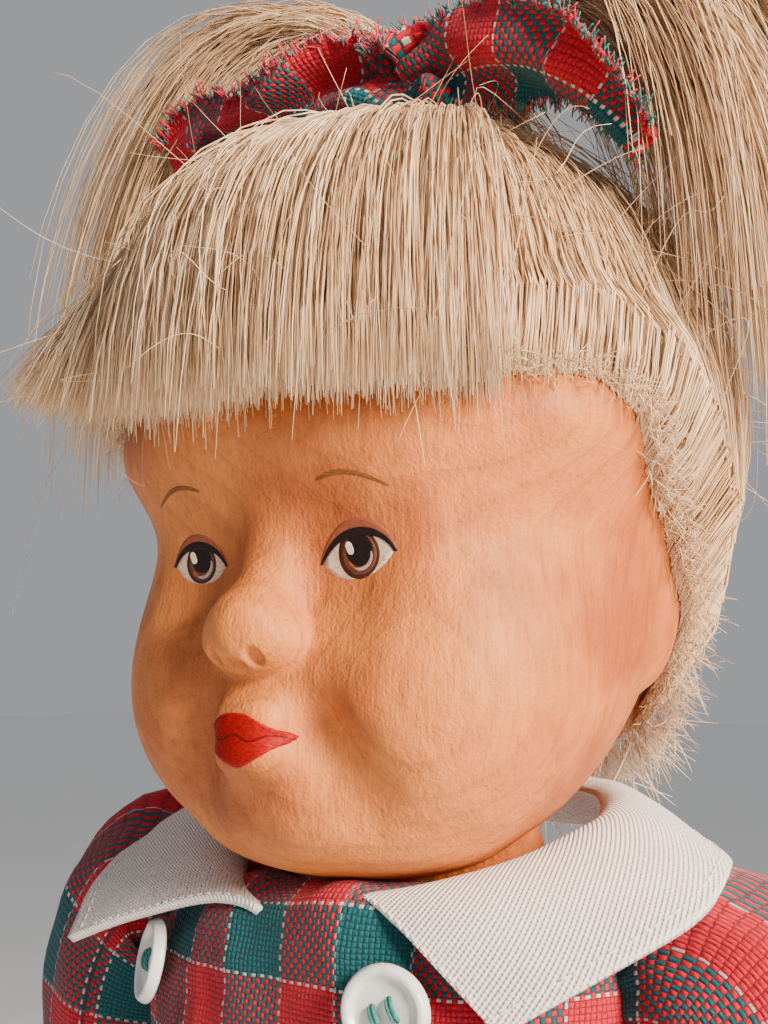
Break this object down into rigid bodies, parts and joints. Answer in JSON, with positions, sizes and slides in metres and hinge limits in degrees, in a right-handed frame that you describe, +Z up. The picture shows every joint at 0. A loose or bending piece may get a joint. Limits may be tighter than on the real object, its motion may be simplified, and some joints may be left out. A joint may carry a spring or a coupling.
{
  "type": "jointed wooden doll",
  "caption": "Jointed carved wooden play doll with a painted face and blonde tied-up wig, in a red and teal checked romper with a white collar and buttons; turns, nods and sits.",
  "frame": {"origin": "on the floor under the middle of the box around the standing doll", "axes": "+Z up, the doll faces -Y, +X towards its left hand"},
  "size_m": [0.1314, 0.0907, 0.4355],
  "materials": {
    "maple": "oiled",
    "steel": "satin",
    "checked_cotton": "woven, red and teal checks",
    "white_twill": "woven",
    "button_white": "satin",
    "teal_thread": "matte",
    "wig_base": "matte",
    "blonde_hair": "satin",
    "white_knit": "knitted",
    "shoe_leather": "polished",
    "sole_leather": "matte",
    "shoe_button_black": "gloss"
  },
  "bodies": {
    "torso": {"torso_front": "maple", "torso_back": "maple", "torso_dowels": "maple", "romper_body": "checked_cotton", "collar": "white_twill", "buttons": "button_white", "button_threads": "teal_thread", "back_snaps": "steel", "shoulder_bolts": "steel", "shoulder_washers": "steel", "shoulder_nuts": "steel", "hip_rod": "steel", "hip_washers": "steel", "hip_nuts": "steel"},
    "neck_rod": {"neck_eyebolt": "steel", "neck_spring": "steel", "neck_washers": "steel", "neck_nut": "steel"},
    "head": {"head": "maple", "crown_plug": "maple", "neck_cross_pin": "steel", "wig_cap": "wig_base", "hair_sides": "blonde_hair", "hair_fringe": "blonde_hair", "hair_tail_left": "blonde_hair", "hair_tail_right": "blonde_hair", "hair_ribbon": "checked_cotton"},
    "left_upper_arm": {"left_upper_arm": "maple", "left_elbow_pin": "steel", "left_sleeve": "checked_cotton"},
    "left_forearm": {"left_forearm": "maple"},
    "left_hand": {"left_hand": "maple", "left_wrist_peg": "maple"},
    "left_thigh": {"left_thigh": "maple", "left_knee_pin": "steel", "left_romper_leg": "checked_cotton"},
    "left_shin": {"left_shin": "maple", "left_sock": "white_knit", "left_shoe_upper": "shoe_leather", "left_shoe_sole": "sole_leather", "left_shoe_strap": "shoe_leather", "left_shoe_button": "shoe_button_black"},
    "right_upper_arm": {"right_upper_arm": "maple", "right_elbow_pin": "steel", "right_sleeve": "checked_cotton"},
    "right_forearm": {"right_forearm": "maple"},
    "right_hand": {"right_hand": "maple", "right_wrist_peg": "maple"},
    "right_thigh": {"right_thigh": "maple", "right_knee_pin": "steel", "right_romper_leg": "checked_cotton"},
    "right_shin": {"right_shin": "maple", "right_sock": "white_knit", "right_shoe_upper": "shoe_leather", "right_shoe_sole": "sole_leather", "right_shoe_strap": "shoe_leather", "right_shoe_button": "shoe_button_black"}
  },
  "joints": [
    {"name": "neck_turn", "type": "hinge", "parent": "torso", "child": "neck_rod", "pos_m": [0, 0.002, 0.306], "axis": [0, 0, 1], "range_deg": [-40, 40]},
    {"name": "neck_nod", "type": "hinge", "parent": "neck_rod", "child": "head", "pos_m": [0, 0.002, 0.306], "axis": [-1, 0, 0], "range_deg": [-3, 15]},
    {"name": "left_shoulder", "type": "hinge", "parent": "torso", "child": "left_upper_arm", "pos_m": [0.04, 0.002, 0.289], "axis": [-1, 0, 0], "range_deg": [-35, 90]},
    {"name": "left_elbow", "type": "hinge", "parent": "left_upper_arm", "child": "left_forearm", "pos_m": [0.05019, 0.002, 0.24107], "axis": [-0.9781, 0, -0.2079], "range_deg": [-15, 70]},
    {"name": "left_wrist", "type": "hinge", "parent": "left_forearm", "child": "left_hand", "pos_m": [0.05902, -0.00939, 0.1995], "axis": [0.2008, -0.2588, -0.9448], "range_deg": [-90, 90]},
    {"name": "left_hip", "type": "hinge", "parent": "torso", "child": "left_thigh", "pos_m": [0.0208, 0.002, 0.176], "axis": [-1, 0, 0], "range_deg": [-20, 90]},
    {"name": "left_knee", "type": "hinge", "parent": "left_thigh", "child": "left_shin", "pos_m": [0.0208, 0.002, 0.098], "axis": [1, 0, 0], "range_deg": [0, 95]},
    {"name": "right_shoulder", "type": "hinge", "parent": "torso", "child": "right_upper_arm", "pos_m": [-0.04, 0.002, 0.289], "axis": [-1, 0, 0], "range_deg": [-35, 90]},
    {"name": "right_elbow", "type": "hinge", "parent": "right_upper_arm", "child": "right_forearm", "pos_m": [-0.05019, 0.002, 0.24107], "axis": [-0.9781, 0, 0.2079], "range_deg": [-15, 70]},
    {"name": "right_wrist", "type": "hinge", "parent": "right_forearm", "child": "right_hand", "pos_m": [-0.05902, -0.00939, 0.1995], "axis": [0.2008, 0.2588, 0.9448], "range_deg": [-90, 90]},
    {"name": "right_hip", "type": "hinge", "parent": "torso", "child": "right_thigh", "pos_m": [-0.0208, 0.002, 0.176], "axis": [-1, 0, 0], "range_deg": [-20, 90]},
    {"name": "right_knee", "type": "hinge", "parent": "right_thigh", "child": "right_shin", "pos_m": [-0.0208, 0.002, 0.098], "axis": [1, 0, 0], "range_deg": [0, 95]}
  ]
}
